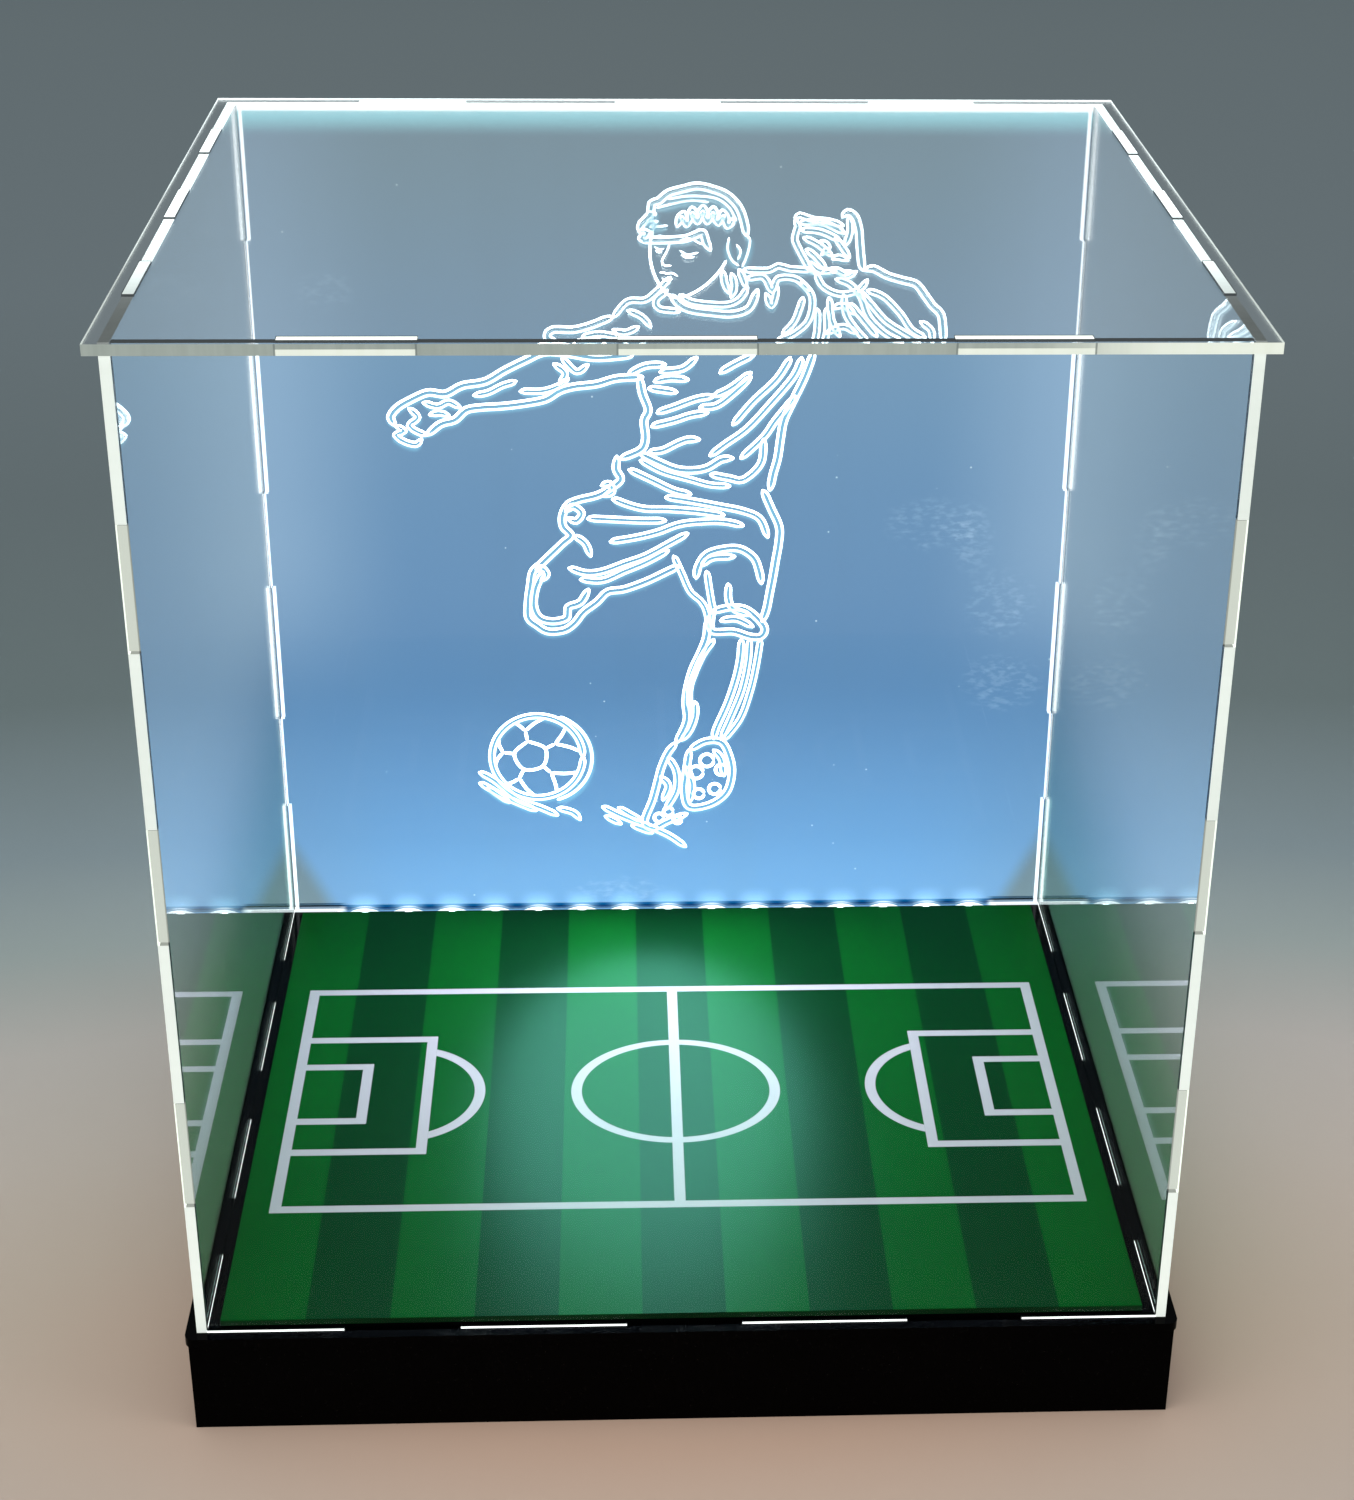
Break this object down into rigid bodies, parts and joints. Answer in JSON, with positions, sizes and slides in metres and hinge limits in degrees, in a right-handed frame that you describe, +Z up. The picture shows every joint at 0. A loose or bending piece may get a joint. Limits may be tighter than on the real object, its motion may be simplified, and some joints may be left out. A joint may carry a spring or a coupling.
{
  "type": "display case",
  "caption": "Clear acrylic display case with an engraved, edge-lit back wall, a lift-off cover and lid, and a black base holding a printed sports pitch floor.",
  "frame": {"origin": "centre of the base's bottom face, on the table", "axes": "+Z up, the open view of the front wall faces -Y, the engraved back wall is at +Y, +X to the right seen from the front"},
  "size_m": [0.3, 0.27, 0.341],
  "materials": {
    "clear_acrylic": "clear cast acrylic, polished faces, pale laser-cut edges",
    "engraved_acrylic": "clear cast acrylic, laser engraved and edge-lit cool white",
    "black_acrylic": "high gloss",
    "printed_pitch": "satin print of a striped green pitch with pale lines",
    "white_tape": "satin white flexible circuit",
    "led_white": "lit cool white",
    "zinc_steel": "zinc plated",
    "nickel": "nickel plated",
    "socket_black": "moulded, satin",
    "red_insulation": "satin PVC",
    "black_insulation": "satin PVC"
  },
  "bodies": {
    "base": {"base_top_plate": "black_acrylic", "base_front_panel": "black_acrylic", "base_back_panel": "black_acrylic", "base_left_panel": "black_acrylic", "base_right_panel": "black_acrylic", "base_bottom_plate": "black_acrylic", "led_rail": "black_acrylic", "corner_block_front_left": "black_acrylic", "corner_block_front_right": "black_acrylic", "corner_block_back_left": "black_acrylic", "corner_block_back_right": "black_acrylic", "pitch_panel": "printed_pitch", "led_tape": "white_tape", "led_01": "led_white", "led_02": "led_white", "led_03": "led_white", "led_04": "led_white", "led_05": "led_white", "led_06": "led_white", "led_07": "led_white", "led_08": "led_white", "led_09": "led_white", "led_10": "led_white", "led_11": "led_white", "led_12": "led_white", "led_13": "led_white", "led_14": "led_white", "led_15": "led_white", "base_screw_1": "zinc_steel", "base_screw_2": "zinc_steel", "base_screw_3": "zinc_steel", "base_screw_4": "zinc_steel", "dc_socket": "socket_black", "dc_socket_nut": "nickel", "dc_socket_pin": "nickel", "dc_lug_plus": "nickel", "dc_lug_minus": "nickel", "wire_plus": "red_insulation", "wire_minus": "black_insulation"},
    "cover": {"front_wall": "clear_acrylic", "back_wall": "engraved_acrylic", "left_wall": "clear_acrylic", "right_wall": "clear_acrylic"},
    "lid": {"lid_plate": "clear_acrylic"}
  },
  "joints": [
    {"name": "cover_lift", "type": "slide", "parent": "base", "child": "cover", "axis": [0, 0, 1], "range_m": [0, 0.06]},
    {"name": "lid_lift", "type": "slide", "parent": "cover", "child": "lid", "axis": [0, 0, 1], "range_m": [0, 0.06]}
  ]
}
